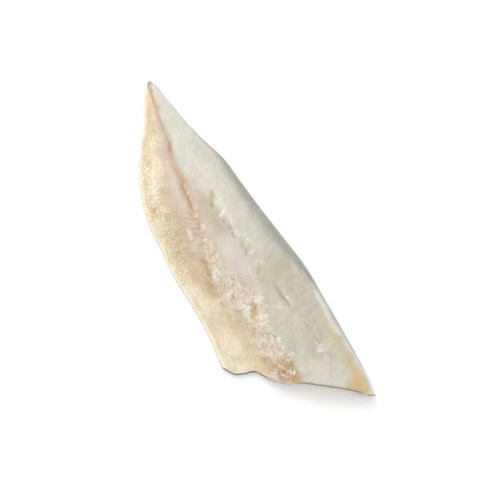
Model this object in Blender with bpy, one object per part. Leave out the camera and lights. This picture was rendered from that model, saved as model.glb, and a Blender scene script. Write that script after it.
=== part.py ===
"""A raw haddock fillet, lying on its skin with the flesh side up.

Metres, +Z up. +X runs along the fillet from the tail tip to the head end, +Y to its
back edge and -Y to its belly edge. The origin is the middle of the fillet on the
surface that it lies on. All sizes below are in millimetres, and MM makes them metres.

A place on the fillet is a pair (u, v): u runs from the tail tip, 0, to the head cut, 1,
and v from the belly edge, 0, to the back edge, 1.
"""

import bpy
import numpy as np

MM = 0.001

# How finely the surface is worked out, and the share of its triangles that is kept.
STEPS_ALONG = 236
STEPS_ACROSS = 72
STEPS_DOWN_CUT = 5
KEPT_SHARE = 0.148
SHARP_ANGLE = np.radians(60.0)

# Outline from above, as (along, across). The two edges meet in the tail tip, and the
# head cut joins their far ends.
BELLY_EDGE = (
    (-150.0, 1.6), (-148.2, -0.6), (-136.3, -7.8), (-115.8, -15.8), (-95.7, -26.0),
    (-78.2, -34.2), (-59.9, -40.0), (-35.0, -44.5), (-12.0, -44.3), (15.0, -43.8),
    (42.0, -40.8), (67.0, -39.4), (90.4, -40.5),
)
BACK_EDGE = (
    (-150.0, 1.6), (-147.4, 3.4), (-131.7, 6.9), (-105.5, 12.0), (-83.3, 17.5),
    (-59.9, 25.1), (-38.9, 28.0), (-12.4, 31.8), (20.0, 37.2), (44.9, 41.3),
    (72.0, 42.5), (100.0, 43.7), (130.0, 44.7), (150.0, 43.8),
)
# The knife's wave along the head cut: (v, how far past the straight cut).
CUT_WAVE = (
    (0.0, 0.0), (0.06, 3.8), (0.14, 1.9), (0.23, -1.3), (0.31, 4.5), (0.38, 7.7),
    (0.5, 6.9), (0.65, 6.3), (0.8, 5.2), (0.92, 4.3), (1.0, 0.0),
)
CUT_WAVE_REACH = 0.12  # share of the length that bends with the wave

# Thickness along the fillet, as (u, thickness), on five lines from edge to edge.
BELLY_RIM = ((0, 2.6), (0.2, 4.6), (0.45, 4.6), (0.7, 3.8), (1, 2.8))
BELLY_LOBE = ((0, 2.8), (0.1, 6.0), (0.28, 10.2), (0.48, 10.4), (0.64, 6.6), (0.8, 4.6), (1, 3.4))
MIDLINE = ((0, 2.8), (0.1, 6.6), (0.3, 10.8), (0.5, 12.6), (0.7, 12.8), (0.86, 11.4), (1, 8.8))
LOIN = ((0, 2.9), (0.1, 7.0), (0.3, 12.2), (0.5, 15.8), (0.7, 18.6), (0.86, 17.8), (1, 12.8))
BACK_RIM = ((0, 2.8), (0.1, 6.2), (0.3, 10.4), (0.6, 13.0), (0.86, 12.6), (1, 9.0))
LOBE_AT = 0.24
MIDLINE_AT = ((0, 0.5), (0.25, 0.47), (0.5, 0.42), (0.75, 0.37), (1, 0.36))
LOIN_AT = 0.70

# Height of the edge itself, where skin and flesh meet, and how far in each rounds off.
BELLY_EDGE_HEIGHT = ((0, 1.4), (0.3, 1.8), (0.6, 1.4), (0.85, 1.5), (1, 2.2))
BACK_EDGE_HEIGHT = ((0, 1.4), (0.15, 2.6), (0.5, 5.6), (0.8, 6.4), (1, 3.4))
BELLY_ROUND = ((0, 3.0), (0.3, 7.0), (0.7, 4.5), (1, 3.5))
BACK_ROUND = ((0, 3.0), (0.2, 6.0), (0.5, 10.0), (0.85, 12.5), (1, 12.5))
TAIL_ROUND = 5.0

# The head cut leans under the flesh: the skin ends this far back, and hangs this high.
CUT_LEAN = ((0, 0), (0.08, 0.5), (0.3, 1.2), (0.5, 7.0), (0.8, 8.5), (1, 0))
CUT_LIFT = ((0, 1.8), (0.2, 2.0), (0.5, 1.8), (0.8, 2.2), (1, 2.8))
CUT_LIFT_REACH = 26.0

# Relief on the flesh: lines as (along, across) points.
BLOOD_LINE = (
    (-147, 1), (-129, -2.5), (-109, -5), (-91, -6.6), (-80, -8.3), (-54, -11.2), (-37, -12.6),
    (-22, -13.8), (-10, -14.2),
)
BLOOD_LINE_WIDTH, BLOOD_LINE_DEPTH = 2.2, 0.6

# Six low ribs across the midline, where the backbone lay.
RIB_PATCH, RIB_PATCH_SIZE = (-6.0, -16.5), (13.0, 7.5)
RIB_SPACING, RIB_HEIGHT = 4.4, 0.2

# The ragged band, torn open where the pin bones came out.
TORN_BAND = (
    (0, -14.5), (8, -15), (20, -16.5), (40, -15.5), (57, -7.5), (75, -8), (92, -8), (106, -6),
    (118, -6),
)
TORN_HALF_WIDTH = (
    (0, 2.5), (0.08, 4.5), (0.17, 6.0), (0.34, 8.5), (0.48, 9.5), (0.63, 8.0), (0.78, 8.5), (1, 9.0),
)
TORN_DEPTH, TORN_CRAG_HEIGHT = 0.5, 0.6

# Splits in the flesh: (start, end, half width, depth).
SPLITS = (
    ((-33, 5.6), (-21, 0.6), 1.5, 0.8),
    ((-15, 2.2), (-12.6, 1.2), 0.9, 0.6),
    ((-7.6, 3.2), (-4.6, 1.8), 0.9, 0.7),
    ((-1, 4.1), (2.6, 2.5), 0.9, 0.8),
    ((5.2, 4.2), (9.4, 2.4), 0.9, 0.8),
    ((15.6, 6), (19.2, 4.4), 1.0, 0.6),
    ((23, 7), (26, 5.6), 1.1, 0.6),
    ((35, 10.8), (42, 7.6), 1.4, 0.7),
    ((56, 14), (68.5, 14.2), 1.4, 0.8),
    ((69, 14.6), (76, 16.4), 0.9, 0.6),
    ((91, 20.6), (98, 22.4), 0.7, 0.4),
    ((98, 22.3), (108, 23.3), 0.8, 0.4),
    ((14, -22.6), (26, -21.4), 1.3, 0.5),
    ((31, -25), (41, -23.5), 1.8, 0.4),
    ((50, -23), (59, -15.5), 1.6, 0.3),
    ((58, -4), (70, -8.6), 2.4, 0.4),
    ((86, -1.8), (91, -1), 1.2, 0.7),
    ((101, 3), (112, 2), 1.8, 0.8),
)
# Lumps that stand up from it: (middle, radius, height).
LUMPS = (
    ((113, -11), 5.0, 1.5),
    ((110, -5), 5.0, 1.2),
    ((118, -2), 4.5, 1.6),
    ((112, 22), 2.4, 0.8),
    ((26, -17), 4.0, 0.9),
    ((46, -17), 4.5, 1.0),
    ((60, -12), 3.5, 0.9),
    ((76, -7), 4.0, 1.0),
    ((90, -6), 4.5, 1.0),
)
# Folds in the belly's lining, which smooth out towards the flap's end.
BELLY_WRINKLE_HEIGHT = 0.45
FLAP_STARTS, FLAP_RUN = 0.0, 25.0
SWELL_HEIGHT, SWELL_CELL = 0.45, 30.0  # slow unevenness of the whole flesh
WANDER, WANDER_CELL = 1.3, 8.0  # how far the lines of relief stray from their course
CUT_BULGE = 0.8  # how far the cut face swells out at half its height
FIBRE_ANGLE = np.radians(156.5)  # the muscle fibres run this way, from +X towards +Y


def smooth(t):
    t = np.clip(t, 0.0, 1.0)
    return t * t * (3.0 - 2.0 * t)


def through(points, at):
    """The height at `at` of a smooth curve through (place, height) points."""
    knots, values = np.array(points, float).T
    slopes = np.gradient(values, knots)
    i = np.clip(np.searchsorted(knots, at) - 1, 0, len(knots) - 2)
    step = knots[i + 1] - knots[i]
    t = (at - knots[i]) / step
    start = (1 + 2 * t) * (1 - t) ** 2 * values[i] + t * (1 - t) ** 2 * step * slopes[i]
    end = t * t * (3 - 2 * t) * values[i + 1] + t * t * (t - 1) * step * slopes[i + 1]
    return start + end


def along_edge(edge, u):
    """The points at shares u of an edge's length."""
    edge = np.array(edge, float)
    steps = np.linalg.norm(np.diff(edge, axis=0), axis=1)
    share = np.concatenate([[0.0], np.cumsum(steps)]) / steps.sum()
    return [through(np.stack([share, edge[:, k]], 1), u) for k in (0, 1)]


def noise(x, y, cell, seed):
    """Smooth noise from -1 to 1 with one random height for each cell."""
    heights = np.random.default_rng(seed).uniform(-1, 1, (64, 64))
    x, y = x / cell, y / cell
    i, j = np.floor(x).astype(int), np.floor(y).astype(int)
    s, t = smooth(x - i), smooth(y - j)
    near = heights[i % 64, j % 64] * (1 - s) + heights[(i + 1) % 64, j % 64] * s
    far = heights[i % 64, (j + 1) % 64] * (1 - s) + heights[(i + 1) % 64, (j + 1) % 64] * s
    return near * (1 - t) + far * t


def from_line(x, y, line):
    """Distance from a line of points, and how far along it the nearest place is, 0 to 1."""
    line = np.array(line, float)
    steps = np.linalg.norm(np.diff(line, axis=0), axis=1)
    share = np.concatenate([[0.0], np.cumsum(steps)]) / steps.sum()
    nearest = np.full(np.shape(x), np.inf)
    along = np.zeros(np.shape(x))
    for a, b, low, high in zip(line[:-1], line[1:], share[:-1], share[1:]):
        t = ((x - a[0]) * (b - a)[0] + (y - a[1]) * (b - a)[1]) / ((b - a) @ (b - a))
        t = np.clip(t, 0, 1)
        distance = np.hypot(x - a[0] - t * (b - a)[0], y - a[1] - t * (b - a)[1])
        along = np.where(distance < nearest, low + t * (high - low), along)
        nearest = np.minimum(distance, nearest)
    return nearest, along


def fibre_axes(x, y):
    """The same places measured along the muscle fibres and across them."""
    c, s = np.cos(FIBRE_ANGLE), np.sin(FIBRE_ANGLE)
    return c * x + s * y, -s * x + c * y


def splits(x, y):
    depth = np.zeros(np.shape(x))
    for start, end, half_width, deepest in SPLITS:
        distance, along = from_line(x, y, (start, end))
        narrowing = 0.45 + 0.55 * np.sin(np.pi * along)
        depth = np.maximum(depth, deepest * np.exp(-((distance / (half_width * narrowing)) ** 2)))
    return depth


def lumps(x, y):
    height = np.zeros(np.shape(x))
    for (mid_x, mid_y), radius, top in LUMPS:
        distance = np.hypot(x - mid_x, y - mid_y) / radius
        height = height + top * np.exp(-(distance**2))
    return height


def ribs(x, y):
    across = np.hypot((x - RIB_PATCH[0]) / RIB_PATCH_SIZE[0], (y - RIB_PATCH[1]) / RIB_PATCH_SIZE[1])
    along, _ = fibre_axes(x, y)
    return RIB_HEIGHT * np.sin(2 * np.pi * along / RIB_SPACING) * smooth(2 - 2 * across)


def torn_band(x, y):
    """Crags of the ragged band, which lie a little below the flesh beside them."""
    distance, along = from_line(x, y, TORN_BAND)
    share = smooth(1.6 - 1.3 * distance / through(TORN_HALF_WIDTH, along))
    run, across = fibre_axes(x, y)
    crags = noise(run / 1.6, across, 2.9, 11) + 0.6 * noise(run / 1.4, across, 1.9, 12)
    return share * (TORN_CRAG_HEIGHT * crags - TORN_DEPTH)


def belly_wrinkles(x, y, v):
    run, across = fibre_axes(x, y)
    wrinkles = noise(run / 2.0, across, 4.5, 21) + 0.6 * noise(run, across, 2.4, 22)
    on_flap = smooth((x - FLAP_STARTS) / FLAP_RUN)
    return BELLY_WRINKLE_HEIGHT * wrinkles * (1 - 0.7 * on_flap) * smooth(2.2 - 6 * v)


def strayed(x, y):
    """The same places, pushed about a little, so that no line of relief runs true."""
    return (
        x + WANDER * noise(x, y, WANDER_CELL, 31),
        y + WANDER * noise(x, y, WANDER_CELL, 32),
    )


def relief(x, y, v):
    """What stands up from the flesh's smooth shape, or is sunk in it."""
    swell = SWELL_HEIGHT * noise(x, y, SWELL_CELL, 41)
    x, y = strayed(x, y)
    distance, _ = from_line(x, y, BLOOD_LINE)
    groove = BLOOD_LINE_DEPTH * np.exp(-((distance / BLOOD_LINE_WIDTH) ** 2))
    raised = torn_band(x, y) + lumps(x, y) + ribs(x, y) + belly_wrinkles(x, y, v)
    return swell + raised - groove - splits(x, y)


def plan(u, v):
    """The place from above, before the head cut leans."""
    belly_x, belly_y = along_edge(BELLY_EDGE, u)
    back_x, back_y = along_edge(BACK_EDGE, u)
    wave = through(CUT_WAVE, v) * smooth((u - 1) / CUT_WAVE_REACH + 1)
    return belly_x + (back_x - belly_x) * v + wave, belly_y + (back_y - belly_y) * v


def smooth_thickness(u, v):
    """Thickness without the flesh's relief: a curve across through the five lines."""
    thickness = np.zeros(np.shape(u))
    for row in range(len(u)):
        at = u[row, 0]
        section = (
            (0.0, through(BELLY_RIM, at)),
            (LOBE_AT, through(BELLY_LOBE, at)),
            (through(MIDLINE_AT, at), through(MIDLINE, at)),
            (LOIN_AT, through(LOIN, at)),
            (1.0, through(BACK_RIM, at)),
        )
        thickness[row] = through(section, v[row])
    return thickness


def quarter_round(distance, reach):
    """Rises from 0 at an edge to 1 at `reach`, as a quarter of a circle."""
    inside = np.clip(1 - distance / reach, 0, 1)
    return np.sqrt(1 - inside**2)


def edge_distances(u, v):
    """Distance to the belly edge, to the back edge and to the tail tip."""
    belly = np.stack(along_edge(BELLY_EDGE, u))
    back = np.stack(along_edge(BACK_EDGE, u))
    width = np.linalg.norm(back - belly, axis=0)
    x, y = plan(u, v)
    return v * width, (1 - v) * width, np.hypot(x - BELLY_EDGE[0][0], y - BELLY_EDGE[0][1])


def edge_height(u, v):
    """Height of the skin's edge, carried across the fillet from one edge to the other."""
    return through(BELLY_EDGE_HEIGHT, u) * (1 - v) + through(BACK_EDGE_HEIGHT, u) * v


def cut_lift(u, v):
    """How high the head end hangs, which dies out towards the tail."""
    to_cut = (1 - u) * (BACK_EDGE[-1][0] - BACK_EDGE[0][0])
    return through(CUT_LIFT, v) * smooth(1 - to_cut / CUT_LIFT_REACH)


def top_height(u, v):
    to_belly, to_back, to_tail = edge_distances(u, v)
    rounded = (
        quarter_round(to_belly, through(BELLY_ROUND, u))
        * quarter_round(to_back, through(BACK_ROUND, u))
        * quarter_round(to_tail, TAIL_ROUND)
    )
    x, y = plan(u, v)
    edge = edge_height(u, v)
    full = smooth_thickness(u, v) + cut_lift(u, v) + relief(x, y, v) * rounded
    return edge + (full - edge) * rounded


def bottom_height(u, v):
    """The skin lies flat, curls up to the edges and lifts at the head cut."""
    to_belly, to_back, to_tail = edge_distances(u, v)
    lies = (
        quarter_round(to_belly, 1.6 * through(BELLY_ROUND, u))
        * quarter_round(to_back, through(BACK_ROUND, u))
        * quarter_round(to_tail, TAIL_ROUND)
    )
    return edge_height(u, v) * (1 - lies) + cut_lift(u, v) * lies


def fillet_surface():
    """Corners of the top, the underside and the head cut, each as rows of points."""
    t = np.linspace(0, 1, STEPS_ALONG + 1)
    u = 0.35 * t**2 + 0.65 * t
    v = (1 - np.cos(np.pi * np.linspace(0, 1, STEPS_ACROSS + 1))) / 2
    v = 0.5 * v + 0.5 * np.linspace(0, 1, STEPS_ACROSS + 1)
    u, v = np.meshgrid(u, v, indexing="ij")
    x, y = plan(u, v)
    lean = through(CUT_LEAN, v) * smooth(1 - (1 - u) / 0.2)
    top = np.stack([x, y, top_height(u, v)], axis=-1)
    bottom = np.stack([x - lean, y, bottom_height(u, v)], axis=-1)
    down = np.linspace(0, 1, STEPS_DOWN_CUT + 1)[:, None, None]
    cut = top[-1] * (1 - down) + bottom[-1] * down
    depth = top[-1, :, 2] - bottom[-1, :, 2]
    fullness = CUT_BULGE * np.sin(np.pi * down[:, :, 0]) * depth / depth.max()
    cut[:, :, 0] += fullness
    return top, bottom, cut


def shared_corners(top, bottom, cut):
    """One number for each corner, with those on an edge shared by the two faces there."""
    count = STEPS_ACROSS + 1
    top_ids = np.arange((STEPS_ALONG + 1) * count).reshape(-1, count)
    top_ids[0] = 0
    bottom_ids = top_ids.max() + 1 + np.arange(top_ids.size).reshape(-1, count)
    bottom_ids[0] = 0
    bottom_ids[:, [0, -1]] = top_ids[:, [0, -1]]
    cut_ids = bottom_ids.max() + 1 + np.arange(cut.shape[0] * count).reshape(-1, count)
    cut_ids[0], cut_ids[-1] = top_ids[-1], bottom_ids[-1]
    cut_ids[:, [0, -1]] = top_ids[-1, [0, -1]]
    return top_ids, bottom_ids, cut_ids


def faces_of(ids, flipped):
    """The quads between rows of corners, or triangles where two corners are one."""
    faces = []
    for near, far in zip(ids[:-1], ids[1:]):
        for a, b, c, d in zip(near[:-1], far[:-1], far[1:], near[1:]):
            face = list(dict.fromkeys((a, b, c, d)))
            if len(face) > 2:
                faces.append(face[::-1] if flipped else face)
    return faces


def flesh_material():
    material = bpy.data.materials.new("fillet_flesh")
    material.use_nodes = True
    surface = material.node_tree.nodes["Principled BSDF"]
    surface.inputs["Base Color"].default_value = (0.75, 0.70, 0.58, 1.0)
    surface.inputs["Roughness"].default_value = 0.35
    surface.inputs["Metallic"].default_value = 0.0
    return material


def make_fillet():
    patches = fillet_surface()
    ids = shared_corners(*patches)
    corners = np.zeros((max(patch.max() for patch in ids) + 1, 3))
    for patch, numbers in zip(patches, ids):
        corners[numbers] = patch
    faces = faces_of(ids[0], False) + faces_of(ids[1], True) + faces_of(ids[2], False)
    used = np.unique(np.concatenate([np.array(face) for face in faces]))
    renumbered = {old: new for new, old in enumerate(used)}
    faces = [[renumbered[corner] for corner in face] for face in faces]

    mesh = bpy.data.meshes.new("fillet")
    mesh.from_pydata((corners[used] * MM).tolist(), [], faces)
    mesh.shade_smooth()
    mesh.set_sharp_from_angle(angle=SHARP_ANGLE)
    mesh.materials.append(flesh_material())
    fillet = bpy.data.objects.new("fillet", mesh)
    bpy.context.scene.collection.objects.link(fillet)
    thin = fillet.modifiers.new("fewer_faces", "DECIMATE")
    thin.ratio = KEPT_SHARE
    thin.use_collapse_triangulate = True
    return fillet


def main():
    for old in list(bpy.data.objects):
        bpy.data.objects.remove(old, do_unlink=True)
    make_fillet()


main()
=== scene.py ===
"""Looks of a raw haddock fillet: its flesh, its skin and the torn shreds along its middle.

Metres, +Z up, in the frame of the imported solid. The flesh's form is worked out in
millimetres by the same rules as the solid's, at a finer step and with finer relief.
A place on the fillet is a pair (u, v): u runs from the tail tip, 0, to the head cut, 1,
and v from the belly edge, 0, to the back edge, 1. x and y are millimetres from the
fillet's middle, towards the head and towards the back.
"""

import math
from functools import cached_property

import bpy
import numpy as np
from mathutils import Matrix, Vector
from mathutils.bvhtree import BVHTree


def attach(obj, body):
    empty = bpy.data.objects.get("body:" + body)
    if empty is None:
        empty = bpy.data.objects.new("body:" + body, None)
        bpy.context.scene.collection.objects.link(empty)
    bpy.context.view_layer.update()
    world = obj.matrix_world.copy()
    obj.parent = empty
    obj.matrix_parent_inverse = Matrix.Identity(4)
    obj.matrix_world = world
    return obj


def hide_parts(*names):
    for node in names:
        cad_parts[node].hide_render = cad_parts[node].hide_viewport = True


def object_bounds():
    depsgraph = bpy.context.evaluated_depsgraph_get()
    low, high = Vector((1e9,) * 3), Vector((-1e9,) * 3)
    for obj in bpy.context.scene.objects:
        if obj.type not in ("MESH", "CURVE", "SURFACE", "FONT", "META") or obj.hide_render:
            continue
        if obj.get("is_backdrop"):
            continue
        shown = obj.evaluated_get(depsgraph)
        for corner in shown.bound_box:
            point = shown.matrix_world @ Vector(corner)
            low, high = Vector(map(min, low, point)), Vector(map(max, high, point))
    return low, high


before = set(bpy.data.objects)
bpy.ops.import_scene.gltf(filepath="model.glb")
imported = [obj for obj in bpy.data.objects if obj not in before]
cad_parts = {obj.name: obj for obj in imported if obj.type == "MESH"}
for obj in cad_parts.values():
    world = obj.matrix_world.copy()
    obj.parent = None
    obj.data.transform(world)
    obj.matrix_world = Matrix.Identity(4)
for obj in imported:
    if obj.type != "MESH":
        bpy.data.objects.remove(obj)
cad_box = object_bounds()

MM = 0.001
NOISE_CELLS = 64  # after which the noise repeats itself
TINY = 1e-6  # keeps a width of 0 from being divided by

# ---- form, as in the solid
BELLY_EDGE = (
    (-150, 1.6), (-148.2, -0.6), (-136.3, -7.8), (-115.8, -15.8), (-95.7, -26), (-78.2, -34.2), (-59.9, -40),
    (-35, -44.5), (-12, -44.3), (15, -43.8), (42, -40.8), (67, -39.4), (90.4, -40.5),
)
BACK_EDGE = (
    (-150, 1.6), (-147.4, 3.4), (-131.7, 6.9), (-105.5, 12), (-83.3, 17.5), (-59.9, 25.1), (-38.9, 28),
    (-12.4, 31.8), (20, 37.2), (44.9, 41.3), (72, 42.5), (100, 43.7), (130, 44.7), (150, 43.8),
)
CUT_WAVE = (
    (0, 0), (0.06, 3.8), (0.14, 1.9), (0.23, -1.3), (0.31, 4.5), (0.38, 7.7), (0.5, 6.9), (0.65, 6.3),
    (0.8, 5.2), (0.92, 4.3), (1, 0),
)
CUT_WAVE_REACH = 0.12

BELLY_RIM = ((0, 2.6), (0.2, 4.6), (0.45, 4.6), (0.7, 3.8), (1, 2.8))
BELLY_LOBE = ((0, 2.8), (0.1, 6), (0.28, 10.2), (0.48, 10.4), (0.64, 6.6), (0.8, 4.6), (1, 3.4))
MIDLINE = ((0, 2.8), (0.1, 6.6), (0.3, 10.8), (0.5, 12.6), (0.7, 12.8), (0.86, 11.4), (1, 8.8))
LOIN = ((0, 2.9), (0.1, 7), (0.3, 12.2), (0.5, 15.8), (0.7, 18.6), (0.86, 17.8), (1, 12.8))
BACK_RIM = ((0, 2.8), (0.1, 6.2), (0.3, 10.4), (0.6, 13), (0.86, 12.6), (1, 9))
LOBE_AT = 0.24
MIDLINE_AT = ((0, 0.5), (0.25, 0.47), (0.5, 0.42), (0.75, 0.37), (1, 0.36))
LOIN_AT = 0.70

BELLY_EDGE_HEIGHT = ((0, 1.4), (0.3, 1.8), (0.6, 1.4), (0.85, 1.5), (1, 2.2))
BACK_EDGE_HEIGHT = ((0, 1.4), (0.15, 2.6), (0.5, 5.6), (0.8, 6.4), (1, 3.4))
BELLY_ROUND = ((0, 3), (0.3, 7), (0.7, 4.5), (1, 3.5))
BACK_ROUND = ((0, 3), (0.2, 6), (0.5, 10), (0.85, 12.5), (1, 12.5))
TAIL_ROUND = 5.0
CURL_REACH = 1.6  # the skin curls up this much further in from the belly edge

CUT_LEAN = ((0, 0), (0.08, 0.5), (0.3, 1.2), (0.5, 7), (0.8, 8.5), (1, 0))
CUT_LEAN_REACH = 0.2
CUT_LIFT = ((0, 1.8), (0.2, 2), (0.5, 1.8), (0.8, 2.2), (1, 2.8))
CUT_LIFT_REACH = 26.0

BLOOD_LINE = (
    (-147, 1), (-129, -2.5), (-109, -5), (-91, -6.6), (-80, -8.3), (-54, -11.2), (-37, -12.6), (-22, -13.8),
    (-10, -14.2),
)
BLOOD_LINE_WIDTH, BLOOD_LINE_DEPTH = 2.2, 0.6
RIB_PATCH, RIB_PATCH_SIZE = (-6.0, -16.5), (13.0, 7.5)
RIB_SPACING, RIB_HEIGHT = 4.4, 0.2
TORN_BAND = (
    (0, -14.5), (8, -15), (20, -16.5), (40, -15.5), (57, -7.5), (75, -8), (92, -8), (106, -6), (118, -6),
)
TORN_HALF_WIDTH = ((0, 2.5), (0.08, 4.5), (0.17, 6), (0.34, 8.5), (0.48, 9.5), (0.63, 8), (0.78, 8.5), (1, 9))
TORN_DEPTH, TORN_CRAG_HEIGHT = 0.5, 0.6
SPLITS = (  # x and y of the start and of the end, half width, depth
    (-33, 5.6, -21, 0.6, 1.5, 0.8), (-15, 2.2, -12.6, 1.2, 0.9, 0.6), (-7.6, 3.2, -4.6, 1.8, 0.9, 0.7),
    (-1, 4.1, 2.6, 2.5, 0.9, 0.8), (5.2, 4.2, 9.4, 2.4, 0.9, 0.8), (15.6, 6, 19.2, 4.4, 1, 0.6),
    (23, 7, 26, 5.6, 1.1, 0.6), (35, 10.8, 42, 7.6, 1.4, 0.7), (56, 14, 68.5, 14.2, 1.4, 0.8),
    (69, 14.6, 76, 16.4, 0.9, 0.6), (91, 20.6, 98, 22.4, 0.7, 0.4), (98, 22.3, 108, 23.3, 0.8, 0.4),
    (14, -22.6, 26, -21.4, 1.3, 0.5), (31, -25, 41, -23.5, 1.8, 0.4), (50, -23, 59, -15.5, 1.6, 0.3),
    (58, -4, 70, -8.6, 2.4, 0.4), (86, -1.8, 91, -1, 1.2, 0.7), (101, 3, 112, 2, 1.8, 0.8),
)
LUMPS = (  # x, y, radius, height
    (113, -11, 5, 1.5), (110, -5, 5, 1.2), (118, -2, 4.5, 1.6), (112, 22, 2.4, 0.8), (26, -17, 4, 0.9),
    (46, -17, 4.5, 1), (60, -12, 3.5, 0.9), (76, -7, 4, 1), (90, -6, 4.5, 1),
)
BELLY_WRINKLE_HEIGHT = 0.45
FLAP_STARTS, FLAP_RUN = 0.0, 25.0
SWELL_HEIGHT, SWELL_CELL = 0.45, 30.0
WANDER, WANDER_CELL = 1.3, 8.0
CUT_BULGE = 0.8
FIBRE_ANGLE = np.radians(156.5)

# ---- finer form, for the looks only
STEPS_ALONG, STEPS_ACROSS, STEPS_DOWN_CUT = 500, 160, 12
UNDER_STEPS_ACROSS = 20
SKIN_STEPS_ALONG, SKIN_STEPS_ACROSS = 300, 60
SKIN_THICKNESS, SKIN_TAPER = 0.8, 2.0
FLESH_GAP = 0.05  # between the skin and the flesh on it
SKIN_END_REACH = 12.0
SKIN_END_SHOWS = (  # past the head cut
    (0, 0.3), (0.06, 0.5), (0.22, 0.55), (0.3, 0), (0.36, -0.6), (0.46, -0.4), (0.6, 0.4), (0.84, 0.4),
    (0.93, 0), (1, 0),
)
SKIN_SHOWS = ((0, 0), (0.5, 0.05), (0.8, 0.12), (1, 0.1))  # past the flesh's back edge
SKIN_SHOWS_FROM = 0.9
CUT_ROUND, CUT_ROUND_DROP = 1.6, 0.5
CUT_SHADE_DEPTH = 1.6  # how far down the cut its upper rim is darkened as painted shade
CUT_LINE_SPACING, CUT_LINE_BEND = 4.4, 5.0  # walls between flakes, as they show on the cut
CUT_FLAKE_HEIGHT = 0.35
SHRED_HEIGHT, GRIT_HEIGHT = 0.24, 0.12
BELLY_FOLD_HEIGHT, PORE_DEPTH = 0.16, 0.06
SEPTUM_SPACING, SEPTUM_SLANT, SEPTUM_DEPTH = 7.4, 0.42, 0.03
JITTER, JITTER_CELL = 0.55, 2.6  # finer straying than the solid's

# ---- loose strands on the flesh
STRAND_SEED, STRANDS_TRIED = 81, 18000
STRANDS_FROM_TAIL, STRANDS_FROM_BELLY = (-100, 130), (-44, 42)  # where they are tried
TORN_STRANDS, BELLY_STRANDS, WET_STRANDS = 0.55, 0.1, 0.5  # how many of them stay
STRAND_RINGS, STRAND_SIDES = (-0.6, 0.0, 0.6), 5
STRAND_LENGTH, STRAND_WIDTH, STRAND_HEIGHT = (1.3, 3.6), (0.32, 0.72), (0.1, 0.3)
STRAND_RISE, TIP_SUNK = 0.35, 0.1
STRAND_TURN, STRAND_BEND = math.radians(13.0), 0.1  # how far they stray from the fibres' course
TINTED_SHARE, TINT_STRENGTH = 0.55, (0.4, 1.0)
RIDGE_STRANDS, RIDGE_WIDTH, RIDGE_HEIGHT = 3, (0.4, 0.8), (0.15, 0.35)
RIDGE_STRAY, RIDGE_BEND, RIDGE_TINT = 0.6, 0.3, 0.1
ABOVE_FLESH = 60.0

# ---- where colours lie
BELLY_TINT_LINE = (
    (-150, 1), (-125, -3.5), (-105, -9), (-80, -18), (-50, -26), (-20, -28), (10, -27), (40, -24), (60, -18),
    (85, -14), (125, -16),
)
PINK_TINT_LINE = (
    (-150, 1), (-109, -5), (-80, -8.5), (-60, -9), (-45, -6), (-30, -2), (-14, -2), (0, -7), (12, -9.5),
    (25, -9.5), (40, -8), (60, -5), (80, -5), (125, -4),
)
TAN_BELLY = ((-30, -28), (-8, -33.5), (12, -31), (28, -28))
RIB_TINT_LINE = ((-22, -15.5), (-13, -17), (3, -18))
GREY_PATCH = ((-30, -4), (-18, -3), (0, -1))
TAN_HALF_WIDTH, RIB_TINT_HALF_WIDTH, GREY_HALF_WIDTH = 7.0, 5.0, 6.0
BELLY_TINT_BLEND, PINK_TINT_BLEND = 9.0, 7.0
FLAP_TINT_STARTS, FLAP_TINT_RUN = 5.0, 40.0
SPECKLES_START, SPECKLES_RUN = -125.0, 60.0
# Share of the loin's warm colour along the fillet.
WARM_ALONG = (
    (-150, 0), (-60, 0.1), (-20, 0.2), (5, 0.35), (25, 0.6), (45, 1), (62, 0.85), (100, 0.75), (125, 0.35),
    (151, 0.3),
)
BELLY_RIM_REACH, CUT_RIM_REACH, TIP_TINT_REACH = 2.4, 1.3, 4.0
CUT_SHADE_FROM, CUT_SHADE_TO, CUT_SHADE_BLEND = 0.42, 0.94, 0.08  # where along the head cut its rim is darkened as painted shade
# How far in from the back edge its grey reaches: partly the flesh's own grey over the dark skin, partly
# painted shade on the side that turns away from the light.
BACK_TINT_AND_SHADE_REACH = (
    (0, 1), (0.2, 2.5), (0.35, 9), (0.5, 14), (0.6, 14), (0.7, 8), (0.8, 3), (0.9, 1.5), (1, 1.2),
)
BLOOD_STRENGTH = (
    (0, 0.8), (0.13, 0.75), (0.28, 0.5), (0.37, 0.4), (0.43, 0.55), (0.48, 0.8), (0.52, 0.6), (0.56, 0.55),
    (0.7, 0.65), (0.85, 0.65), (1, 0.4),
)
BLOOD_HALF_WIDTH = ((0, 1.1), (0.15, 1.4), (0.35, 1.7), (0.45, 1.8), (0.6, 1.9), (0.8, 1.7), (1, 1.8))
BLOOD_SPOT, BLOOD_SPOT_HALF_WIDTH = ((88.2, -1.6), (90.0, -0.9)), 0.95
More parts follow.
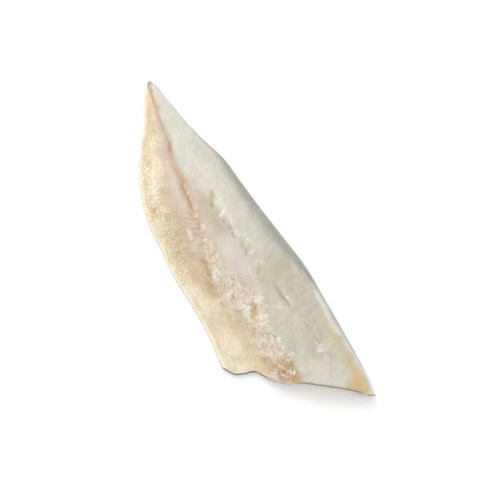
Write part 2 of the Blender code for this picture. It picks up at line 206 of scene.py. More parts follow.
# Coloured places: x and y of the start and of the end, half width, strength.
PLACES = {
    "ochre": (
        (13, -22.8, 25, -21.3, 1.7, 0.75), (23, -21.6, 27, -21.2, 1.2, 0.8), (30, -24.4, 41, -23.6, 2.6, 0.5),
        (57, -15.8, 59.5, -14.6, 1.2, 0.5), (61, -5.4, 69, -8.2, 2, 0.6), (76, -11.6, 80, -11, 1.8, 0.4),
        (22, -10.5, 26, -10.8, 1.4, 0.15), (32, -11.5, 37, -10.5, 1.8, 0.25), (18, -25, 23, -26, 2.6, 0.25),
        (98, -13, 108, -11, 3, 0.5), (106, -4, 115, 0, 3.4, 0.85), (110, 0.6, 119, -1.4, 2.2, 0.85),
        (108, -9, 122, -1, 4.8, 0.85), (110, -12, 122, -7, 3.4, 0.75), (121, 1, 123, 8, 2.4, 0.3),
        (140.5, 27.5, 143, 30.5, 1.5, 0.3), (143, 33, 148, 34.6, 2.4, 0.6), (-39, -36.4, -33, -35, 2.6, 0.55),
        (-29, -32, -24, -33, 2.4, 0.4), (-90, -15, -80, -18, 3, 0.2), (-124, -8.5, -100, -12.5, 4, 0.16),
    ),
    "olive": (
        (-33.5, 3.6, -21, -0.2, 2.3, 0.7), (36, 10.4, 42, 7.6, 1.5, 0.8), (23, 7, 26, 5.6, 1.2, 0.3),
        (-49, -27.5, -39, -29.5, 3.6, 0.55), (43, -22.4, 50, -20.6, 1.8, 0.3),
        (54, -18.6, 59, -15.8, 1.4, 0.4), (33, -27, 39, -25.5, 1.4, 0.6), (84, -19, 94, -17, 4, 0.5),
        (97, -13, 107, -10, 3.2, 0.6), (28, -28, 33, -27, 2.5, 0.3),
    ),
    "lilac": (
        (-31.5, 7.6, -20.5, 4.2, 1.6, 1), (8, -5, 22, -3, 4.5, 0.7), (20, -3, 38, 1, 5.5, 0.8),
        (46, 2, 56, 3.5, 4, 0.5), (1, -23, 6, -21, 2.4, 0.6), (118, 6, 138, 26, 7, 0.5),
        (-135, 2, -85, -3, 3, 0.5), (-96, -13.5, -87, -15.5, 2.6, 0.45), (-56, -16, -32, -18, 2.4, 0.5),
    ),
    "rose": (  # pinkish wet flesh of the torn band
        (24, -16.5, 34, -15.5, 2.4, 0.8), (24, -9, 36, -8, 2.6, 0.5), (55, -14, 62, -10.5, 2.2, 0.6),
        (73, -9.5, 78, -6.5, 2.2, 0.9), (82, -12.4, 89, -8.6, 2.6, 0.8), (95, -8, 101, -4, 2.6, 0.6),
    ),
    "orange": (
        (58, -3.2, 70, -8.2, 2.3, 0.75), (86, 32.5, 104, 34, 2.8, 0.3), (104, 34, 118, 36.3, 3.4, 0.45),
        (116, 36, 130, 37.2, 4, 0.6), (128, 36.4, 138, 35.8, 4.2, 0.8), (137, 35.4, 147.5, 37.4, 4, 1),
        (139, 33, 147, 33.6, 3.6, 0.95), (141.5, 28.5, 146, 30, 2.6, 0.75),
    ),
    "membrane": (
        (50, 35.5, 64, 37.3, 1.6, 0.25), (62, 37.3, 72, 37.8, 1.9, 0.5), (70, 37.7, 80, 38, 2.2, 0.8),
        (80, 38, 104, 38.6, 2.6, 0.75), (104, 39.6, 126, 42.2, 1.4, 0.5), (130, 42.6, 146, 43.2, 1.2, 0.8),
        (143, 42.4, 150, 42.6, 1.8, 0.9), (110.8, 20, 112.6, 24.4, 1.6, 0.45),
    ),
    "pale": (  # the belly's lining, bright where it is thin, with painted highlights on the belly and beside the blood line, and painted light that lifts a groove's shade
        (-92, -19.5, -83, -23, 2.4, 0.4), (-80, -22, -68, -26, 2.4, 0.4), (-68, -28, -52, -32.4, 3.4, 0.95),
        (-48, -10.9, -31, -11.3, 0.6, 0.5), (-26, -41, -14, -41.5, 2.6, 0.45), (30, -34, 44, -33, 5, 0.6),
        (70, -30, 80, -27, 6, 0.6), (47, -21.4, 54.5, -18.4, 2, 0.45), (88, -36, 97, -28, 4, 0.4),
    ),
    "shade": (
        (-33, 2.4, -22, -1.6, 0.7, 0.3), (-25.4, 1.6, -22.4, 0.6, 0.8, 0.45), (-15.5, 3, -14, 2.2, 0.7, 0.25),
        (-8.4, 4.2, -5.6, 2.2, 0.6, 0.25), (0.2, 3.2, 2.2, 2.8, 1, 0.35), (5.6, 3.2, 8.8, 3, 0.8, 0.5),
        (10, 5, 12, 4.2, 0.6, 0.2), (16.4, 6, 19.4, 4.8, 1.3, 0.3), (22.6, 7, 25.6, 5, 0.8, 0.45),
        (38, 9.6, 42.5, 7.6, 0.8, 0.4), (57, 14.4, 62, 14.8, 0.8, 0.35), (62, 14.8, 67.6, 14.9, 1, 0.7),
        (69.6, 15, 75, 16.3, 0.6, 0.5), (78, 17, 84, 18, 0.7, 0.12), (91, 20.8, 96, 22, 0.5, 0.25),
        (98, 22.3, 103, 22.9, 0.5, 0.35), (103.4, 22.8, 108.4, 23.4, 0.7, 0.45),
        (109.6, 17.6, 110, 20.6, 0.9, 0.35), (113, 16, 115, 19, 2, 0.2), (116, 24, 119, 26, 1.4, 0.2),
        (23, -21.4, 28, -21.2, 0.6, 0.6), (46, -23.6, 50, -23, 0.7, 0.3), (58, -15.4, 59, -15, 0.6, 0.3),
        (88.4, -1.9, 91.5, -2.4, 0.7, 0.6), (106, -2.4, 112, 1, 1.4, 0.25),
    ),
    "vein": (
        (-57, -11.6, -49.8, -12, 0.5, 0.25), (-49.8, -12.1, -38, -12.6, 0.5, 0.35),
        (-38, -12.6, -27.6, -13, 0.6, 0.5), (-86, -7.4, -79.5, -7.8, 1.1, 0.3),
        # these five, on the lump at the head cut, are painted shade between its clumps
        (106.4, 1.2, 110.4, 2, 1.1, 0.3), (112, -9.4, 116.4, -7.6, 0.9, 0.5),
        (114.6, -2, 118.6, 0.8, 1.2, 0.5), (112.4, -6.8, 115.6, -5.6, 0.8, 0.45),
        (107.4, -3.6, 110, -2.2, 0.8, 0.3),
    ),
    "ridge": (  # wet ridges, painted white: partly white fibres, partly painted highlights where they catch the light
        (-13.2, 2.6, -15, 4.6, 1.1, 0.9), (-33.4, 7, -29, 5.4, 0.6, 0.5), (-25.4, 4.6, -22.6, 3.4, 0.6, 0.5),
        (-6.2, 4.6, -4.4, 6.8, 0.8, 0.7), (-3.6, 6.4, -1.2, 5.6, 0.7, 0.7), (7.8, 4.2, 5.6, 6.6, 0.8, 0.85),
        (9.8, 5.4, 8.6, 7.4, 0.7, 0.85), (11.8, 8.4, 9.8, 10.6, 0.8, 0.8), (17.6, 9, 14.4, 10.6, 0.7, 0.5),
        (27.2, 8.4, 25.8, 10.2, 0.8, 0.6), (34.5, 12.6, 36.8, 11.8, 0.7, 0.5),
        (-41, -10.6, -39.6, -10.5, 0.5, 0.4), (-12, -11.6, -8.2, -11, 1, 0.6),
        (-12.4, -22.2, -6.4, -23.6, 1.3, 0.6), (22.5, -16.4, 27.4, -17.6, 1.3, 0.5),
        (26.5, -20.6, 30.5, -19, 0.9, 0.5), (44.4, -23.6, 46.4, -16.8, 1.1, 0.85),
        (58.2, -13.4, 60.2, -10.8, 1.2, 0.85), (57.6, -1.6, 60.4, 0.4, 1, 0.8),
        (70.2, -7.4, 72.6, -5.2, 0.9, 0.8), (70.8, -3.6, 73.4, -1.6, 1.1, 0.8),
        (77, -4.4, 80.6, -1.8, 1.2, 0.6), (83.2, -3.8, 85.6, -1.8, 0.9, 0.6),
        (90.2, -4.4, 92.8, -1.6, 1, 0.95), (94.2, -2.4, 95.6, -0.2, 0.8, 0.7),
        (66.4, 16.2, 68.6, 18.2, 0.7, 0.5), (69.6, 18.2, 71.4, 20, 0.6, 0.6),
        (71.2, 10, 73.4, 11.8, 0.6, 0.5), (111.2, 20.4, 113.2, 22.8, 0.9, 0.45),
        (107.4, 22.2, 108.6, 24.4, 0.8, 0.7), (103.8, 20.8, 106.6, 21.6, 0.6, 0.5),
        (116.2, -3.2, 117.4, -1.6, 0.9, 0.85), (110, -13.5, 112.5, -11.6, 0.8, 0.8),
        (114.4, -8.4, 116.4, -6.8, 0.7, 0.7), (117.8, -6.4, 119.6, -4.6, 0.7, 0.7),
        (109.2, -10.6, 111, -9.6, 0.6, 0.6), (115.6, -12, 118, -10.8, 0.8, 0.7),
        (111.4, -15, 114.4, -12, 1.3, 0.9), (108.6, -7.8, 110.2, -5.8, 0.8, 0.7),
        (106.8, -1, 108.6, 0.8, 0.8, 0.6), (104.4, 2.4, 105.8, 4.2, 0.7, 0.6),
    ),
}
# Wet places that glisten: x, y, radius, strength.
WET_PLACES = (
    (26, -17.5, 3, 0.8), (31, -15.5, 2.5, 0.6), (47, -18.5, 3.5, 0.7), (44, -22.5, 1.6, 0.7),
    (61, -10.5, 3, 1), (60, -1, 3, 0.9), (66, 0.5, 2.5, 0.6), (75, -3, 3.5, 0.8), (85, -9.5, 3.5, 0.6),
    (92, -2, 2.4, 1), (98, -6, 3, 0.5), (112.5, -12.5, 2.6, 0.9), (117.5, -1.5, 2.4, 0.6),
    (105.5, 2.5, 1.6, 0.8), (102, -4, 2, 0.6), (-37, -35, 3.4, 0.45), (-30, -35, 3.4, 0.5),
    (-24, -35.5, 3, 0.4), (-26, -11, 1.2, 0.6), (-21.5, -12, 1.2, 0.5), (-2, -19, 2.6, 0.6),
    (-76, -22, 2, 0.3), (-60, -31, 4, 0.35), (-47, -33, 4.5, 0.4), (-34, -33.6, 5, 0.6), (-22, -32, 4, 0.35),
    (72, 36.8, 1.6, 0.5),
)

# ---- colours as the eye sees them
ALBEDO_SHARE = 0.8  # the light on the fillet is this much brighter than white
PALE_LOIN, WARM_LOIN = (216, 213, 202), (196, 188, 169)
GREENISH, LILAC = (204, 209, 193), (221, 212, 205)
BELLY_CREAM, BELLY_OCHRE, BELLY_TAN = (238, 223, 193), (213, 189, 147), (203, 182, 150)
FLAP_CREAM, FLAP_OLIVE = (231, 217, 195), (214, 204, 169)
PINK_FLESH, GREY_FLESH = (210, 192, 173), (193, 182, 164)
BACK_GREY_AND_SHADE, RIM_WHITE = (162, 162, 150), (252, 243, 224)
TORN_WHITE, TORN_TAN, TORN_ROSE = (244, 232, 213), (213, 191, 162), (229, 211, 199)
TORN_SHADE = (184, 156, 122)
BLOOD_TAN, BLOOD_RED, VEIN_AND_SHADE_BROWN = (192, 158, 127), (150, 84, 52), (150, 112, 86)
OCHRE, OLIVE, EDGE_ORANGE = (190, 157, 108), (203, 191, 146), (216, 186, 132)
RIB_TAN = (203, 176, 145)
SHADE_GREY = (152, 145, 126)
# The wet white is partly white fibres and partly painted highlight; the glint white is painted highlight.
MEMBRANE_WHITE, GLINT_WHITE, FIBRE_AND_GLINT_WHITE = (230, 229, 220), (252, 250, 244), (254, 249, 238)
STRAND_WHITE, STRAND_TAN, STRAND_CREAM = (254, 247, 233), (213, 189, 158), (250, 236, 202)
# The head cut's dark colour is painted shade: the shadow of the undercut along the cut's upper rim.
CUT_PINK, CUT_SHADE_BROWN, TAIL_DARK = (208, 190, 168), (138, 120, 98), (120, 100, 84)
SKIN_DARK, SKIN_BROWN = (54, 46, 43), (136, 121, 110)
SKIN_SILVER, SKIN_ROSE = (206, 195, 185), (180, 164, 152)
SKIN_SPECK, SKIN_LINE, SKIN_INSIDE, SKIN_EDGE_AND_SHADE = (52, 44, 40), (22, 18, 18), (214, 208, 198), (78, 62, 52)
# Dark and light tones of the streak, grain and flake patterns, laid on the flesh with a soft-light blend.
STREAK_SHADES = (152, 146, 134), (232, 232, 228)
GRAIN_SHADES = (150, 144, 132), (236, 236, 232)
FLAKE_SHADES = (150, 146, 136), (226, 226, 222)
FLESH_IOR, SKIN_IOR = 1.38, 1.4
LATERAL_LINE = 0.62  # the place of the skin's dark line across the fillet

# ---- studio and view
VIEW_AZIMUTH, VIEW_ELEVATION = math.radians(66.5), math.radians(60.0)
VIEW_DISTANCE, LENS, SENSOR_WIDTH = 0.971, 100.0, 36.0
LOOKS_AT = Vector((0.0139, 0.0131, 0.0))
UP = Vector((0, 0, 1))
PICTURE_RIGHT = Vector((math.cos(VIEW_AZIMUTH), math.sin(VIEW_AZIMUTH), 0))
PICTURE_FORWARD = UP.cross(PICTURE_RIGHT)
TO_CAMERA = UP * math.sin(VIEW_ELEVATION) - PICTURE_FORWARD * math.cos(VIEW_ELEVATION)
# Square soft lights: name, place (right, forward and up in the picture), side and power.
LIGHTS = (("window", (-0.7, 0.8, 1.6), 1.2, 9.8), ("sparkle", (-0.25, 0.9, 1.1), 0.16, 2.2))
HORIZON_LIGHT, OVERHEAD_LIGHT, OVERHEAD_FROM = 0.8, 1.12, 0.8
FLOOR_SIZE = 8.0
FLOOR_GLOW = 0.27  # lit from below, so that shadows stay pale
FLOOR_GREY, WHITE = (0.68, 0.68, 0.68, 1.0), (1.0, 1.0, 1.0, 1.0)


# ---- form
def smooth(t):
    t = np.clip(t, 0.0, 1.0)
    return t * t * (3.0 - 2.0 * t)


def through(points, at):
    """The height at `at` of a smooth curve through (place, height) points."""
    knots, values = np.array(points, float).T
    slopes = np.gradient(values, knots)
    i = np.clip(np.searchsorted(knots, at) - 1, 0, len(knots) - 2)
    step = knots[i + 1] - knots[i]
    t = (at - knots[i]) / step
    start = (1 + 2 * t) * (1 - t) ** 2 * values[i] + t * (1 - t) ** 2 * step * slopes[i]
    end = t * t * (3 - 2 * t) * values[i + 1] + t * t * (t - 1) * step * slopes[i + 1]
    return start + end


def shares_of(line):
    """How far along a line each of its points is, 0 to 1."""
    steps = np.linalg.norm(np.diff(line, axis=0), axis=1)
    return np.concatenate([[0.0], np.cumsum(steps)]) / steps.sum()


def along_edge(edge, u):
    """The points at shares u of an edge's length."""
    edge = np.array(edge, float)
    return np.stack([through(np.stack([shares_of(edge), edge[:, k]], 1), u) for k in (0, 1)])


def noise(x, y, cell, seed):
    """Smooth noise from -1 to 1: a height for each cell, `cell` mm wide, drawn from the seed."""
    heights = np.random.default_rng(seed).uniform(-1, 1, (NOISE_CELLS, NOISE_CELLS))
    x, y = x / cell, y / cell
    i, j = np.floor(x).astype(int), np.floor(y).astype(int)
    s, t = smooth(x - i), smooth(y - j)
    i, j, next_i, next_j = (k % NOISE_CELLS for k in (i, j, i + 1, j + 1))
    near = heights[i, j] * (1 - s) + heights[next_i, j] * s
    far = heights[i, next_j] * (1 - s) + heights[next_i, next_j] * s
    return near * (1 - t) + far * t


def from_line(x, y, line):
    """Distance from a line of points, and how far along it the nearest place is, 0 to 1."""
    line = np.array(line, float)
    share = shares_of(line)
    nearest = np.full(np.shape(x), np.inf)
    along = np.zeros(np.shape(x))
    for a, run, low, high in zip(line, np.diff(line, axis=0), share[:-1], share[1:]):
        t = np.clip(((x - a[0]) * run[0] + (y - a[1]) * run[1]) / (run @ run), 0, 1)
        distance = np.hypot(x - a[0] - t * run[0], y - a[1] - t * run[1])
        along = np.where(distance < nearest, low + t * (high - low), along)
        nearest = np.minimum(distance, nearest)
    return nearest, along


def fibre_axes(x, y):
    """The same places measured along the muscle fibres and across them."""
    c, s = np.cos(FIBRE_ANGLE), np.sin(FIBRE_ANGLE)
    return c * x + s * y, -s * x + c * y


def splits(x, y):
    depth = np.zeros(np.shape(x))
    for *ends, half_width, deepest in SPLITS:
        distance, along = from_line(x, y, np.reshape(ends, (2, 2)))
        narrowing = 0.45 + 0.55 * np.sin(np.pi * along)
        depth = np.maximum(depth, deepest * np.exp(-((distance / (half_width * narrowing)) ** 2)))
    return depth


def lumps(x, y):
    return sum(
        top * np.exp(-((np.hypot(x - mid_x, y - mid_y) / radius) ** 2))
        for mid_x, mid_y, radius, top in LUMPS
    )


def rib_share(x, y):
    """How much a place belongs to the ribbed patch, 0 to 1."""
    (mid_x, mid_y), (reach_x, reach_y) = RIB_PATCH, RIB_PATCH_SIZE
    return smooth(2 - 2 * np.hypot((x - mid_x) / reach_x, (y - mid_y) / reach_y))


def ribs(x, y):
    along, _ = fibre_axes(x, y)
    return RIB_HEIGHT * np.sin(2 * np.pi * along / RIB_SPACING) * rib_share(x, y)


def torn_share(x, y):
    """How much a place belongs to the ragged band, 0 to 1."""
    distance, along = from_line(x, y, TORN_BAND)
    return smooth(1.6 - 1.3 * distance / through(TORN_HALF_WIDTH, along))


def torn_band(x, y):
    """Crags of the ragged band, which lie a little below the flesh beside them."""
    run, across = fibre_axes(x, y)
    crags = noise(run / 1.6, across, 2.9, 11) + 0.6 * noise(run / 1.4, across, 1.9, 12)
    return torn_share(x, y) * (TORN_CRAG_HEIGHT * crags - TORN_DEPTH)


def belly_wrinkles(x, y, v):
    run, across = fibre_axes(x, y)
    wrinkles = noise(run / 2.0, across, 4.5, 21) + 0.6 * noise(run, across, 2.4, 22)
    on_flap = smooth((x - FLAP_STARTS) / FLAP_RUN)
    return BELLY_WRINKLE_HEIGHT * wrinkles * (1 - 0.7 * on_flap) * smooth(2.2 - 6 * v)


def strayed(x, y, reach, cell, seed):
    """The same places, pushed about a little, so that no line of relief runs true."""
    return x + reach * noise(x, y, cell, seed), y + reach * noise(x, y, cell, seed + 1)


def jittered(x, y):
    """Places pushed about as the solid's are, and on a finer scale for ragged edges."""
    return strayed(*strayed(x, y, WANDER, WANDER_CELL, 31), JITTER, JITTER_CELL, 33)


def shreds(x, y):
    """Fine torn fibres, about -1 to 1."""
    run, across = fibre_axes(x, y)
    return 1 - 2 * np.abs(noise(run / 2.6, across, 1.6, 51)) + 0.5 * noise(run / 1.6, across, 0.9, 52)


def belly_folds(x, y):
    """Small folds of the belly's lining, about -1 to 1."""
    run, across = fibre_axes(x, y)
    return 1 - 2 * np.abs(noise(run / 1.8, across, 1.9, 53)) + 0.7 * noise(run, across, 1.2, 56)


def septa(x, y):
    """The thin walls between the flakes, 1 on each wall: slanting lines across the loin."""
    bent = x + SEPTUM_SLANT * np.abs(y - 2) + 3.5 * noise(x, y, 14.0, 57)
    wave = 0.5 + 0.5 * np.cos(2 * np.pi * bent / SEPTUM_SPACING)
    return wave**2 * np.clip(0.6 + noise(x, y, 9.0, 59), 0, 1)


def loin_septa(x, y, v, torn):
    """The same walls, on the loin alone."""
    return septa(x, y) * smooth(4 * v - 1.2) * (1 - torn)


def fine_relief(x, y, v):
    """Shreds, folds and pores that are too small for the solid."""
    torn = torn_share(x, y)
    grit = noise(x, y, 0.8, 58)
    pores = np.clip(noise(x, y, 1.9, 54), 0, 1) * np.clip(0.5 + noise(x, y, 6.0, 55), 0, 1)
    return (
        torn * (SHRED_HEIGHT * shreds(x, y) + GRIT_HEIGHT * grit)
        + BELLY_FOLD_HEIGHT * smooth(1.5 - 5 * v) * belly_folds(x, y)
        - PORE_DEPTH * pores
        - SEPTUM_DEPTH * loin_septa(x, y, v, torn)
    )


def relief(x, y, v):
    """What stands up from the flesh's smooth shape, or is sunk in it."""
    swell = SWELL_HEIGHT * noise(x, y, SWELL_CELL, 41)
    x, y = jittered(x, y)
    groove = BLOOD_LINE_DEPTH * near_line(x, y, BLOOD_LINE, BLOOD_LINE_WIDTH)
    raised = torn_band(x, y) + lumps(x, y) + ribs(x, y) + belly_wrinkles(x, y, v)
    return swell + raised - groove - splits(x, y) + fine_relief(x, y, v)


def near_line(x, y, line, half_width):
    """1 on a line of points, dying out to its sides."""
    distance, _ = from_line(x, y, line)
    return np.exp(-((distance / half_width) ** 2))


def plan(u, v):
    """The place from above, before the head cut leans."""
    belly, back = along_edge(BELLY_EDGE, u), along_edge(BACK_EDGE, u)
    x, y = belly + (back - belly) * v
    return x + through(CUT_WAVE, v) * smooth((u - 1) / CUT_WAVE_REACH + 1), y


def smooth_thickness(u, v):
    """Thickness without the flesh's relief: a curve across through the five lines."""
    thickness = np.zeros(np.shape(u))
    for row in range(len(u)):
        at = u[row, 0]
        places = (0.0, LOBE_AT, through(MIDLINE_AT, at), LOIN_AT, 1.0)
        heights = [through(line, at) for line in (BELLY_RIM, BELLY_LOBE, MIDLINE, LOIN, BACK_RIM)]
        thickness[row] = through(list(zip(places, heights)), v[row])
    return thickness


def quarter_round(distance, reach):
    """Rises from 0 at an edge to 1 at `reach`, as a quarter of a circle."""
    inside = np.clip(1 - distance / reach, 0, 1)
    return np.sqrt(1 - inside**2)


def edge_distances(u, v):
    """Distance to the belly edge, to the back edge and to the tail tip."""
    width = np.linalg.norm(along_edge(BACK_EDGE, u) - along_edge(BELLY_EDGE, u), axis=0)
    x, y = plan(u, v)
    return v * width, (1 - v) * width, np.hypot(x - BELLY_EDGE[0][0], y - BELLY_EDGE[0][1])


def edge_height(u, v):
    """Height of the skin's edge, carried across the fillet from one edge to the other."""
    return through(BELLY_EDGE_HEIGHT, u) * (1 - v) + through(BACK_EDGE_HEIGHT, u) * v


def to_cut(u):
    """Distance to the head cut."""
    return (1 - u) * (BACK_EDGE[-1][0] - BACK_EDGE[0][0])


def cut_lift(u, v):
    """How high the head end hangs, which dies out towards the tail."""
    return through(CUT_LIFT, v) * smooth(1 - to_cut(u) / CUT_LIFT_REACH)


def cut_lean(u, v):
    """How far the skin's side of the head cut lies behind the flesh's side."""
    return through(CUT_LEAN, v) * smooth(1 - (1 - u) / CUT_LEAN_REACH)


def rounding(u, v, belly_reach=1.0):
    """Rises from 0 at the edges and the tail tip to 1 inside."""
    to_belly, to_back, to_tail = edge_distances(u, v)
    return (
        quarter_round(to_belly, belly_reach * through(BELLY_ROUND, u))
        * quarter_round(to_back, through(BACK_ROUND, u))
        * quarter_round(to_tail, TAIL_ROUND)
    )


def top_height(u, v):
    rounded = rounding(u, v)
    edge = edge_height(u, v)
    full = smooth_thickness(u, v) + cut_lift(u, v) + relief(*plan(u, v), v) * rounded
    knife_edge = CUT_ROUND_DROP * (1 - quarter_round(to_cut(u), CUT_ROUND))
    return edge + (full - knife_edge - edge) * rounded


def bottom_height(u, v):
    """The skin lies flat, curls up to the edges and lifts at the head cut."""
    lies = rounding(u, v, CURL_REACH)
    return edge_height(u, v) * (1 - lies) + cut_lift(u, v) * lies


def skin_thickness(u, v):
    """The skin thins out to nothing at its edges, but not at the head cut."""
    return SKIN_THICKNESS * quarter_round(np.min(edge_distances(u, v), axis=0), SKIN_TAPER)


def spread_steps(along, across):
    """Rows and columns of (u, v), closer together near the tail tip and the edges."""
    t = np.linspace(0, 1, along + 1)
    s = np.linspace(0, 1, across + 1)
    rows = 0.3 * t**2 + 0.7 * t
    columns = 0.4 * (1 - np.cos(np.pi * s)) / 2 + 0.6 * s
    return np.meshgrid(rows, columns, indexing="ij")


# ---- mesh making
def rows_of_ids(values, first):
    """Numbers for a grid of corners, whose first row is one corner, the tail tip's."""
    ids = first + np.arange(values.size).reshape(values.shape)
    ids[0] = 0
    return ids


def faces_of(ids, flipped=False):
    """The quads between rows of corners, or triangles where two corners are one."""
    faces = []
    for near, far in zip(ids[:-1].tolist(), ids[1:].tolist()):
        for corners in zip(near[:-1], far[:-1], far[1:], near[1:]):
            face = list(dict.fromkeys(corners))
            if len(face) > 2:
                faces.append(face[::-1] if flipped else face)
    return faces


def fans_of(fine, coarse):
    """Triangles that join a fine row of corners to a coarse one with the same ends."""
    faces = []
    share = (len(fine) - 1) // (len(coarse) - 1)
    for k in range(len(coarse) - 1):
        start = k * share
        for j in range(start, start + share):
            corner = coarse[k] if j < start + share // 2 else coarse[k + 1]
            faces.append([fine[j], corner, fine[j + 1]])
        faces.append([fine[start + share // 2], coarse[k], coarse[k + 1]])
    return [list(dict.fromkeys(face)) for face in faces if len(set(face)) == 3]


def mesh_object(name, corners, faces, masks, material):
    """An object of these corners, in millimetres, with a value at each for every mask."""
    mesh = bpy.data.meshes.new(name)
    mesh.from_pydata((corners * MM).tolist(), [], faces)
    for mask, values in masks.items():
        attribute = mesh.attributes.new(mask, "FLOAT", "POINT")
        attribute.data.foreach_set("value", np.asarray(values, np.float32))
    mesh.shade_smooth()
    mesh.materials.append(material)
    made = bpy.data.objects.new(name, mesh)
    bpy.context.scene.collection.objects.link(made)
    return made


def keep_used(corners, faces, masks):
    """Drops the corners that no face uses."""
    used = np.unique(np.concatenate([np.array(face) for face in faces]))
    number = np.full(len(corners), -1)
    number[used] = np.arange(len(used))
    faces = [number[face].tolist() for face in faces]
    return corners[used], faces, {mask: values[used] for mask, values in masks.items()}


# ---- where the colours show
def marked(x, y, places):
    """How strongly the coloured places show, 0 to 1."""
    shares = [
        strength * near_line(x, y, np.reshape(ends, (2, 2)), half_width)
        for *ends, half_width, strength in places
    ]
    return np.max(shares, axis=0)


def wetness(x, y):
    """How much a place glistens, 0 to 1."""
    shares = [
        strength * smooth(1.5 - np.hypot(x - wet_x, y - wet_y) / radius)
        for wet_x, wet_y, radius, strength in WET_PLACES
    ]
    return np.max(shares, axis=0)


def flesh_masks(u, v):
    """How strongly each colour shows at a place, 0 to 1."""
    x, y = plan(u, v)
    ragged = jittered(x, y)
    blot = noise(x, y, 7.0, 61) + 0.5 * noise(x, y, 3.0, 62)
    _, along = from_line(*ragged, BLOOD_LINE)
    blood = near_line(*ragged, BLOOD_LINE, through(BLOOD_HALF_WIDTH, along))
    run, _ = fibre_axes(*ragged)
    to_belly, to_back, to_tail = edge_distances(u, v)
    torn = torn_share(*ragged)
    crags = torn_band(*ragged) + torn * (TORN_DEPTH + SHRED_HEIGHT * shreds(*ragged))
    folds = belly_wrinkles(*ragged, v) + BELLY_FOLD_HEIGHT * belly_folds(*ragged)
    on_ribs = near_line(x, y, RIB_TINT_LINE, RIB_TINT_HALF_WIDTH)
    cut_shade_stretch = smooth((v - CUT_SHADE_FROM) / CUT_SHADE_BLEND) * smooth((CUT_SHADE_TO - v) / CUT_SHADE_BLEND)
    masks = {name: marked(*ragged, places) for name, places in PLACES.items()}
    return masks | {
        "belly": smooth((through(BELLY_TINT_LINE, x) - y + 3 * blot) / BELLY_TINT_BLEND + 0.5),
        "pink": smooth((through(PINK_TINT_LINE, x) - y + 2 * blot) / PINK_TINT_BLEND + 0.5),
        "grey": near_line(x, y, GREY_PATCH, GREY_HALF_WIDTH),
        "tan": near_line(x, y + 1.5 * blot, TAN_BELLY, TAN_HALF_WIDTH),
        "flap": smooth((x - FLAP_TINT_STARTS + 6 * blot) / FLAP_TINT_RUN),
        "warm": np.clip(through(WARM_ALONG, x) + 0.12 * blot, 0, 1),
        # grey along the back edge: partly its own tone, partly painted shade
        "back": smooth(1.3 - (to_back + 0.6 * blot) / through(BACK_TINT_AND_SHADE_REACH, u)),
        "rim": smooth(1.35 - (to_belly + 0.6 * blot) / BELLY_RIM_REACH),
        "torn": torn,
        # height of the torn band's crags, used to paint light on their tops
        "crest": smooth(0.5 + 0.6 * crags),
        "fold": smooth(0.5 + 0.9 * folds * smooth(1.4 + x / 100)),
        "speckled": 0.25 + 0.75 * smooth((x - SPECKLES_START) / SPECKLES_RUN),
        "septa": loin_septa(*ragged, v, torn),
        "blood": through(BLOOD_STRENGTH, along) * blood,
        "ribs": on_ribs * (0.5 - 0.5 * np.sin(2 * np.pi * run / RIB_SPACING)),
        "red": near_line(x, y, BLOOD_SPOT, BLOOD_SPOT_HALF_WIDTH),
        "tip": smooth(1.3 - to_tail / TIP_TINT_REACH),
        "wet": wetness(*ragged),
        "cut_rim": smooth(1.2 - to_cut(u) / CUT_RIM_REACH),
        # painted shade along the head cut's upper rim, where the undercut is in shadow
        "dried": smooth(1.5 - to_cut(u)) * cut_shade_stretch,
    }


# ---- the pieces
def on_skin(u, v):
    """The corners of the flesh's underside, which lies on the skin."""
    x, y = plan(u, v)
    z = bottom_height(u, v) + skin_thickness(u, v) + FLESH_GAP
    return np.stack([x - cut_lean(u, v), y, z], axis=-1)


def make_flesh():
    u, v = spread_steps(STEPS_ALONG, STEPS_ACROSS)
    top = np.stack([*plan(u, v), top_height(u, v)], axis=-1)
    every = STEPS_ACROSS // UNDER_STEPS_ACROSS
    bottom = on_skin(u[:, ::every], v[:, ::every])

    # The cut runs from the flesh's upper edge down to the skin's edge.
    down = np.linspace(0, 1, STEPS_DOWN_CUT + 1)[:, None]
    high, low = top[-1], on_skin(u[-1:], v[-1:])[0]
    cut = high * (1 - down[..., None]) + low * down[..., None]
    depth = high[:, 2] - low[:, 2]
    flakes = noise(high[:, 1] + 4 * down, cut[..., 2] * 1.6, 2.6, 71)
    cut[..., 0] += (CUT_BULGE + CUT_FLAKE_HEIGHT * flakes) * np.sin(np.pi * down) * depth / depth.max()

    top_ids = rows_of_ids(top[..., 0], 0)
    bottom_ids = rows_of_ids(bottom[..., 0], top_ids.max() + 1)
    bottom_ids[:, [0, -1]] = top_ids[:, [0, -1]]
    cut_ids = rows_of_ids(cut[..., 0], bottom_ids.max() + 1)
    cut_ids[0] = top_ids[-1]
    cut_ids[:, [0, -1]] = top_ids[-1, [0, -1]]

    corners = np.zeros((cut_ids.max() + 1, 3))
    values = {name: np.zeros(len(corners)) for name in ("cut", "cut_lines")}
    corners[bottom_ids] = bottom
    corners[cut_ids] = cut
    corners[top_ids] = top
    for mask, on_top in flesh_masks(u, v).items():
        values[mask] = np.zeros(len(corners))
        values[mask][bottom_ids] = on_top[:, ::every]
        values[mask][cut_ids] = on_top[-1]
        values[mask][top_ids] = on_top
    bent = high[:, 1] + CUT_LINE_BEND * down**2 + 1.6 * noise(high[:, 1] + 0 * down, cut[..., 2], 5.0, 72)
    lines = (0.5 + 0.5 * np.cos(2 * np.pi * bent / CUT_LINE_SPACING)) ** 4
    below_rim = cut_ids[1:, 1:-1]
    values["cut"][below_rim] = 1.0
    values["cut_lines"][below_rim] = lines[1:, 1:-1]
    # the cut's upper rim, darkened as painted shade
    values["dried"][below_rim] = 0.9 * smooth(1 - down[1:] * depth[1:-1] / CUT_SHADE_DEPTH)
    faces = faces_of(top_ids) + faces_of(bottom_ids, flipped=True)
    faces += faces_of(cut_ids[:-1]) + fans_of(cut_ids[-2].tolist(), bottom_ids[-1].tolist())
    return mesh_object("fillet_flesh", *keep_used(corners, faces, values), flesh_material())


